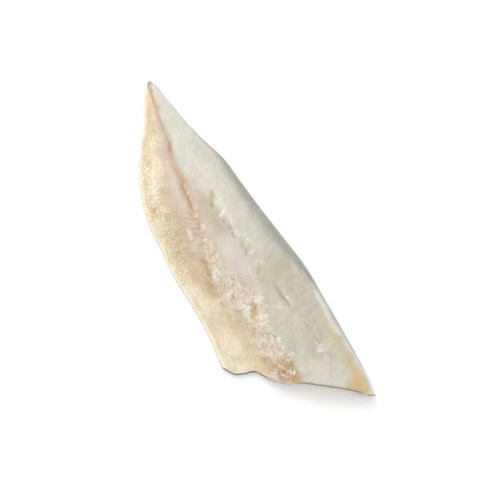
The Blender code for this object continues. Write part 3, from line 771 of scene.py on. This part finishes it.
def strand_places(random):
    """Middles of the strands, close together on the torn band and in the wet places."""
    x = random.uniform(*STRANDS_FROM_TAIL, STRANDS_TRIED)
    y = random.uniform(*STRANDS_FROM_BELLY, STRANDS_TRIED)
    clumps = smooth(0.65 + 0.6 * noise(x, y, 5.0, 82))
    belly = BELLY_STRANDS * smooth((through(BELLY_TINT_LINE, x) - y) / 6) * smooth((-x - 10) / 20)
    torn = TORN_STRANDS * torn_share(x, y) * clumps * (1 - rib_share(x, y))
    likely = np.maximum(torn, belly) + WET_STRANDS * wetness(x, y)
    kept = random.uniform(0, 1, STRANDS_TRIED) < likely
    return x[kept], y[kept]


def strand_corners(surface, start, end, width, height, bend):
    """Rings of corners from tip to tip of one strand that lies half sunk in the surface."""
    run = (end - start) / np.linalg.norm(end - start)
    side = np.array([-run[1], run[0]])
    around = 2 * np.pi * np.arange(STRAND_SIDES) / STRAND_SIDES
    corners = []
    for share in (-1.0, *STRAND_RINGS, 1.0):
        fullness = np.sqrt(1 - share**2)
        place = (start + end) / 2 + (end - start) * share / 2 + side * bend * fullness**2
        hit = surface.ray_cast((*place, ABOVE_FLESH), (0, 0, -1))[0]
        if hit is None:
            return None
        if fullness == 0:
            corners.append((*place, hit.z - TIP_SUNK))
            continue
        for angle in around:
            out = place + side * (width / 2 * fullness * np.cos(angle))
            corners.append((*out, hit.z + height * fullness * (STRAND_RISE + np.sin(angle))))
    return corners


def strand_faces(first):
    """The faces of a strand whose first tip has this number."""
    rings = np.arange(len(STRAND_RINGS) * STRAND_SIDES).reshape(-1, STRAND_SIDES)
    ids = np.full((len(rings) + 2, STRAND_SIDES + 1), first)
    ids[1:-1] += 1 + np.hstack([rings, rings[:, :1]])
    ids[-1] += 1 + rings.size
    return faces_of(ids, flipped=True)


def make_strands(flesh):
    """Loose shreds of torn flesh, thin and tapered, and the wet ridges among them."""
    random = np.random.default_rng(STRAND_SEED)
    corners = np.zeros(len(flesh.data.vertices) * 3)
    flesh.data.vertices.foreach_get("co", corners)
    corners = corners.reshape(-1, 3) / MM
    surface = BVHTree.FromPolygons(corners.tolist(), [face.vertices[:] for face in flesh.data.polygons])
    strands = []
    for *ends, half_width, _ in PLACES["ridge"] * RIDGE_STRANDS:
        ends = np.reshape(ends, (2, 2)) + random.normal(0, RIDGE_STRAY * half_width, (2, 2))
        width, height = random.uniform(*RIDGE_WIDTH), random.uniform(*RIDGE_HEIGHT)
        strands.append((*ends, width, height, random.normal(0, RIDGE_BEND), RIDGE_TINT, 0.0))
    x, y = strand_places(random)
    # Strands in the ochre places take its colour; those in the places of painted shade take it too, as
    # painted shade.
    brown_and_shade = np.maximum(marked(x, y, PLACES["ochre"]), marked(x, y, PLACES["shade"]))
    for middle, is_brown_and_shade, wet in zip(np.stack([x, y], 1), brown_and_shade, wetness(x, y)):
        angle = FIBRE_ANGLE + random.normal(0, STRAND_TURN)
        length = random.uniform(*STRAND_LENGTH) * (1 - 0.3 * wet)
        reach = np.array([np.cos(angle), np.sin(angle)]) * length / 2
        width, height = random.uniform(*STRAND_WIDTH), random.uniform(*STRAND_HEIGHT)
        is_tinted = random.uniform() < TINTED_SHARE * (1 - wet)
        bend, tint = random.normal(0, STRAND_BEND), random.uniform(*TINT_STRENGTH) * is_tinted
        strands.append((middle - reach, middle + reach, width, height, bend, tint, is_brown_and_shade))
    corners, faces, shares = [], [], []
    for start, end, width, height, bend, tint, is_brown_and_shade in strands:
        made = strand_corners(surface, start, end, width, height, bend)
        if made is None:
            continue
        faces += strand_faces(len(corners))
        corners += made
        is_cream = float(start[1] < through(BELLY_TINT_LINE, start[0]))
        shares += [(tint, is_brown_and_shade, is_cream)] * len(made)
    masks = dict(zip(("tint", "brown_and_shade", "cream"), np.transpose(shares)))
    return mesh_object("torn_strands", np.array(corners), faces, masks, strand_material())


def make_skin():
    """A thin sheet under the flesh: its outer face is the underside of the solid."""
    u, v = spread_steps(SKIN_STEPS_ALONG, SKIN_STEPS_ACROSS)
    x, y = plan(u, v)
    past_cut = through(SKIN_END_SHOWS, v) * smooth(1 - to_cut(u) / SKIN_END_REACH)
    outward = along_edge(BACK_EDGE, u) - along_edge(BELLY_EDGE, u)
    outward /= np.linalg.norm(outward, axis=0) + TINY
    at_back = smooth((v - SKIN_SHOWS_FROM) / (1 - SKIN_SHOWS_FROM))
    past_back = through(SKIN_SHOWS, u) * at_back * outward
    outer_x = x - cut_lean(u, v) + past_cut + past_back[0]
    outer = np.stack([outer_x, y + past_back[1], bottom_height(u, v)], axis=-1)
    inner = outer.copy()
    inner[..., 2] += skin_thickness(u, v)
    outer_ids = rows_of_ids(u, 0)
    inner_ids = rows_of_ids(u, outer_ids.max() + 1)
    inner_ids[:, [0, -1]] = outer_ids[:, [0, -1]]
    end = np.stack([inner_ids[-1], outer_ids[-1]])
    corners = np.zeros((inner_ids.max() + 1, 3))
    values = {name: np.zeros(len(corners)) for name in ("across", "inside", "edge")}
    values["inside"][inner_ids] = 1.0
    values["inside"][outer_ids] = 0.0
    # the skin's end painted dark: partly its own edge, partly painted contact shade under the head cut
    values["edge"][end] = 1.0
    for ids, places in ((inner_ids, inner), (outer_ids, outer)):
        corners[ids] = places
        values["across"][ids] = v
    faces = faces_of(outer_ids, flipped=True) + faces_of(inner_ids) + faces_of(end)
    return mesh_object("fillet_skin", *keep_used(corners, faces, values), skin_material())


# ---- materials
def linear(colour):
    """A colour of 0 to 255, as it looks, made the shader's own numbers."""
    share = [channel / 255 for channel in colour]
    light = [c / 12.92 if c <= 0.04045 else ((c + 0.055) / 1.055) ** 2.4 for c in share]
    return [ALBEDO_SHARE * channel for channel in light] + [1.0]


class Shader:
    """The nodes of a material or a world, with short ways to add to them."""

    def __init__(self, owner):
        owner.use_nodes = True
        self.owner, self.tree = owner, owner.node_tree

    def fill(self, node, inputs):
        """Gives a node's inputs their values, or links other nodes' outputs to them."""
        for name, value in inputs.items():
            if isinstance(value, bpy.types.NodeSocket):
                self.tree.links.new(value, node.inputs[name])
            else:
                node.inputs[name].default_value = value

    def node(self, kind, output, inputs=None, **settings):
        """An output of a new node with these inputs and settings."""
        made = self.tree.nodes.new("ShaderNode" + kind)
        for name, value in settings.items():
            setattr(made, name, value)
        self.fill(made, inputs or {})
        return made.outputs[output]

    def math(self, operation, first, second=0.0, kind="Math"):
        return self.node(kind, 0, {0: first, 1: second}, operation=operation)

    def times(self, first, second):
        return self.math("MULTIPLY", first, second)

    def mask(self, name, share=None):
        """A mask's value, or a share of it."""
        value = self.node("Attribute", "Fac", attribute_name=name)
        return value if share is None else self.times(value, share)

    @cached_property
    def millimetres(self):
        place = self.node("TexCoord", "Object")
        return self.math("MULTIPLY", place, (1 / MM,) * 3, kind="VectorMath")

    def turned(self, angle, scale):
        """Places in millimetres, turned about Z and stretched."""
        inputs = {"Vector": self.millimetres, "Rotation": (0, 0, angle), "Scale": scale}
        return self.node("Mapping", "Vector", inputs, vector_type="TEXTURE")

    def noise(self, size, detail, roughness, place=None):
        inputs = {"Vector": place or self.millimetres, "Scale": 1 / size}
        return self.node("TexNoise", "Fac", inputs | {"Detail": detail, "Roughness": roughness})

    def cells(self, size, place=None, feature="F1"):
        inputs = {"Vector": place or self.millimetres, "Scale": 1 / size}
        return self.node("TexVoronoi", "Distance", inputs, feature=feature)

    def patches(self, size, place):
        """A random value for each of many small patches, with soft borders."""
        inputs = {"Vector": place, "Scale": 1 / size, "Smoothness": 0.5}
        return self.node("TexVoronoi", "Color", inputs, feature="SMOOTH_F1")

    def ramp(self, value, low, high, to_low=0.0, to_high=1.0):
        """The value, with low to high made to_low to to_high."""
        ends = {"From Min": low, "From Max": high, "To Min": to_low, "To Max": to_high}
        return self.node("MapRange", "Result", {"Value": value} | ends, interpolation_type="SMOOTHSTEP")

    def mix(self, share, first, second, blend="MIX"):
        first, second = (linear(c) if isinstance(c, tuple) else c for c in (first, second))
        return self.node("Mix", 2, {0: share, 6: first, 7: second}, data_type="RGBA", blend_type=blend)

    def layered(self, colour, *layers):
        """The colour under layers of others, each with the share that it covers."""
        for share, tint in layers:
            colour = self.mix(share, colour, tint)
        return colour

    def bump(self, height, distance, strength):
        inputs = {"Height": height, "Distance": distance * MM, "Strength": strength}
        return self.node("Bump", "Normal", inputs)

    def finished(self, last="Principled BSDF", **inputs):
        """The material or the world, with the inputs of its last node."""
        inputs = {name.replace("_", " "): value for name, value in inputs.items()}
        self.fill(self.tree.nodes[last], inputs)
        return self.owner


def flesh_material():
    shader = Shader(bpy.data.materials.new("raw_flesh"))
    times, ramp, mix, mask, noise = shader.times, shader.ramp, shader.mix, shader.mask, shader.noise
    streaks = noise(1.0, 4.0, 0.6, shader.turned(FIBRE_ANGLE, (7.0, 0.8, 1.0)))
    wisps = noise(1.0, 3.0, 0.65, shader.turned(FIBRE_ANGLE, (3.6, 1.2, 1.0)))
    cloud = noise(9.0, 2.0, 0.5, shader.turned(FIBRE_ANGLE, (1.8, 1.0, 1.0)))
    mottle = noise(2.8, 4.0, 0.65)
    grain = noise(1.1, 2.0, 0.6)
    flakes = shader.patches(7.0, shader.turned(FIBRE_ANGLE, (1.7, 0.8, 1.0)))

    flap = mix(ramp(cloud, 0.45, 0.6, 0.0, 0.6), FLAP_CREAM, FLAP_OLIVE)
    dark_specks = times(ramp(grain, 0.46, 0.34), ramp(mask("flap"), 0.2, 0.8, 0.8, 0.2))
    # The belly's light specks are painted highlights: small glints on its folds.
    painted_belly_glints = times(ramp(grain, 0.55, 0.61), ramp(mask("flap"), 0.0, 0.6, 1.0, 0.15))
    cream = shader.layered(
        BELLY_CREAM,
        (mask("flap"), flap),
        (ramp(mask("fold"), 0.75, 0.15, 0.0, 0.5), BELLY_OCHRE),
        (ramp(wisps, 0.5, 0.7, 0.0, 0.3), BELLY_OCHRE),
        (mask("speckled", dark_specks), BELLY_OCHRE),
        (mask("speckled", painted_belly_glints), RIM_WHITE),
    )
    # The torn band is painted whiter on its raised crags: painted light on the crests.
    height = shader.math("ADD", mask("crest", 0.4), wisps)
    torn = shader.layered(
        TORN_TAN,
        (ramp(height, 0.5, 0.9), TORN_WHITE),
        (ramp(mottle, 0.5, 0.65, 0.0, 0.35), TORN_ROSE),
        (ramp(grain, 0.43, 0.3, 0.0, 0.75), TORN_SHADE),
        # white sparkles on the torn band: painted highlights
        (ramp(grain, 0.575, 0.64, 0.0, 0.9), FIBRE_AND_GLINT_WHITE),
    )
    colour = shader.layered(
        PALE_LOIN,
        (mask("warm"), WARM_LOIN),
        (ramp(cloud, 0.45, 0.65, 0.0, 0.3), GREENISH),
        (ramp(cloud, 0.5, 0.35, 0.0, 0.35), LILAC),
        (mask("septa", 0.2), MEMBRANE_WHITE),
        (mask("pink", ramp(cloud, 0.3, 0.6, 0.75)), PINK_FLESH),
        (mask("grey"), GREY_FLESH),
        (mask("belly"), cream),
        (mask("tan", ramp(mottle, 0.3, 0.6, 1.0, 0.65)), BELLY_TAN),
        # the belly's lining and painted highlights, lighter
        (mask("pale", ramp(mottle, 0.6, 0.4, 0.6)), RIM_WHITE),
        # the belly's thin edge painted lighter: partly its own tone, partly painted light where the thin edge
        # lets light through
        (mask("rim", 0.9), RIM_WHITE),
        # the back edge greyer: partly its own tone, partly painted shade where the side turns down
        (mask("back", 0.95), BACK_GREY_AND_SHADE),
        (mask("torn", 0.85), torn),
        (mask("ribs", 0.85), RIB_TAN),
        (mask("rose"), TORN_ROSE),
        (mask("lilac", ramp(streaks, 0.3, 0.6, 0.65)), LILAC),
        (mask("olive", ramp(wisps, 0.35, 0.55, 0.6)), OLIVE),
        (mask("ochre", ramp(wisps, 0.35, 0.6, 0.75)), OCHRE),
        (mask("blood"), BLOOD_TAN),
        (mask("orange", ramp(streaks, 0.35, 0.6, 0.7)), EDGE_ORANGE),
        (mask("membrane"), MEMBRANE_WHITE),
        (mask("shade"), SHADE_GREY),
        # the blood's veins, and painted shade between the lump's clumps
        (mask("vein"), VEIN_AND_SHADE_BROWN),
        (mask("red"), BLOOD_RED),
        # wet ridges painted white: partly white fibres, partly painted highlights
        (mask("ridge", ramp(grain, 0.35, 0.55, 0.3)), FIBRE_AND_GLINT_WHITE),
        # the head cut's top edge painted lighter: a painted highlight along its rounded rim
        (mask("cut_rim", 0.55), RIM_WHITE),
        (mask("tip", 0.6), TAIL_DARK),
        (mask("cut", 0.7), CUT_PINK),
        (mask("cut", ramp(mottle, 0.4, 0.62, 0.0, 0.45)), GREY_FLESH),
        (mask("cut_lines", ramp(mottle, 0.35, 0.6, 0.2, 0.7)), RIM_WHITE),
        # painted shade along the head cut's upper rim
        (mask("dried", 0.85), CUT_SHADE_BROWN),
    )
    for share, pattern, low, high, shades in (
        (0.2, streaks, 0.3, 0.7, STREAK_SHADES),
        (0.16, grain, 0.3, 0.7, GRAIN_SHADES),
        (0.16, flakes, 0.35, 0.65, FLAKE_SHADES),
    ):
        colour = mix(share, colour, mix(ramp(pattern, low, high), *shades), "SOFT_LIGHT")
    # White glints painted into the colour on the wet places: painted highlights.
    glints = ramp(shader.math("ADD", grain, mask("wet", 0.2)), 0.65, 0.71)

    return shader.finished(
        Base_Color=mix(mask("wet", glints), colour, GLINT_WHITE),
        Roughness=ramp(mask("wet"), 0.0, 1.0, 0.45, 0.3),
        Normal=shader.bump(shader.math("ADD", streaks, grain), 0.08, 0.5),
        Subsurface_Weight=0.3,
        Subsurface_Radius=(1.0, 0.62, 0.4),
        Subsurface_Scale=0.0025,
        Coat_Weight=ramp(mask("wet"), 0.0, 0.8, 0.06),
        Coat_Roughness=0.08,
        IOR=FLESH_IOR,
    )


def strand_material():
    shader = Shader(bpy.data.materials.new("wet_strands"))
    grain = shader.noise(0.8, 3.0, 0.6)
    return shader.finished(
        Base_Color=shader.layered(
            STRAND_WHITE,
            (shader.mask("tint"), STRAND_TAN),
            (shader.mask("cream"), STRAND_CREAM),
            # ochre on strands in stains, and as painted shade on strands in shaded places
            (shader.mask("brown_and_shade"), OCHRE),
        ),
        Roughness=shader.ramp(grain, 0.3, 0.7, 0.25, 0.45),
        Normal=shader.bump(grain, 0.05, 0.5),
        Subsurface_Weight=0.25,
        Subsurface_Radius=(1.0, 0.7, 0.5),
        Subsurface_Scale=0.001,
        Coat_Weight=0.6,
        Coat_Roughness=0.06,
        IOR=FLESH_IOR,
    )


def skin_material():
    shader = Shader(bpy.data.materials.new("fish_skin"))
    ramp = shader.ramp
    across = shader.mask("across")
    fine = shader.noise(1.1, 5.0, 0.7)
    cloud = shader.noise(9.0, 4.0, 0.6)
    dots = shader.math("LESS_THAN", shader.cells(1.3), ramp(across, 0.15, LATERAL_LINE, 0.12, 0.42))
    side = shader.math("ADD", across, shader.times(shader.math("SUBTRACT", cloud, 0.5), 0.05))
    off_line = shader.math("ABSOLUTE", shader.math("SUBTRACT", side, LATERAL_LINE))
    back = shader.mix(ramp(fine, 0.35, 0.65), SKIN_DARK, SKIN_BROWN)
    scales = shader.cells(1.5, shader.turned(0.0, (1.4, 1.0, 1.0)), "DISTANCE_TO_EDGE")
    return shader.finished(
        Base_Color=shader.layered(
            SKIN_SILVER,
            (ramp(cloud, 0.3, 0.7), SKIN_ROSE),
            (shader.times(dots, ramp(fine, 0.4, 0.6)), SKIN_SPECK),
            (ramp(side, LATERAL_LINE - 0.02, LATERAL_LINE + 0.04), back),
            (ramp(off_line, 0.006, 0.014, 1.0, 0.0), SKIN_LINE),
            (shader.mask("inside"), SKIN_INSIDE),
            # the skin's end: partly its own dark edge, partly painted contact shade
            (ramp(shader.mask("edge"), 0.6, 0.9), SKIN_EDGE_AND_SHADE),
        ),
        Roughness=ramp(fine, 0.3, 0.7, 0.25, 0.4),
        Normal=shader.bump(scales, 0.12, 0.5),
        Coat_Weight=0.5,
        Coat_Roughness=0.15,
        IOR=SKIN_IOR,
    )


def floor_material():
    return Shader(bpy.data.materials.new("white_floor")).finished(
        Base_Color=FLOOR_GREY,
        Roughness=0.7,
        Specular_IOR_Level=0.2,
        Emission_Color=WHITE,
        Emission_Strength=FLOOR_GLOW,
    )


# ---- studio
def studio_object(data, place, away):
    """A camera or a light at a place, turned so that `away` is behind it."""
    made = bpy.data.objects.new(data.name, data)
    made.location = place
    made.rotation_mode = "QUATERNION"
    made.rotation_quaternion = away.to_track_quat("Z", "Y")
    bpy.context.scene.collection.objects.link(made)
    return made


def make_camera():
    data = bpy.data.cameras.new("camera")
    data.lens, data.sensor_width = LENS, SENSOR_WIDTH
    place = LOOKS_AT + TO_CAMERA * VIEW_DISTANCE
    bpy.context.scene.camera = studio_object(data, place, TO_CAMERA)


def make_studio():
    room = Shader(bpy.data.worlds.new("white_room"))
    # The room is brighter overhead than at the horizon.
    up = room.node("SeparateXYZ", "Z", {0: room.node("TexCoord", "Generated")})
    brightness = {"Value": up, "From Max": OVERHEAD_FROM, "To Min": HORIZON_LIGHT, "To Max": OVERHEAD_LIGHT}
    strength = room.node("MapRange", "Result", brightness)
    bpy.context.scene.world = room.finished("Background", Color=WHITE, Strength=strength)
    bpy.context.scene.view_settings.view_transform = "Standard"

    for name, (right, forward, up), side, power in LIGHTS:
        data = bpy.data.lights.new(name, "AREA")
        data.size, data.energy = side, power
        place = PICTURE_RIGHT * right + PICTURE_FORWARD * forward + UP * up
        studio_object(data, place, place)

    bpy.ops.mesh.primitive_plane_add(size=FLOOR_SIZE)
    floor = bpy.context.object
    floor.name = "floor"
    floor.data.materials.append(floor_material())
    floor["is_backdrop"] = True


def main():
    make_camera()
    make_studio()
    flesh = make_flesh()
    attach(flesh, "root")
    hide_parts("fillet")
    strands = make_strands(flesh)
    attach(strands, "root")
    skin = make_skin()
    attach(skin, "root")


main()

corners_of = lambda box: [list(corner) for corner in box]
{"cad": corners_of(cad_box), "visual": corners_of(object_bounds())}
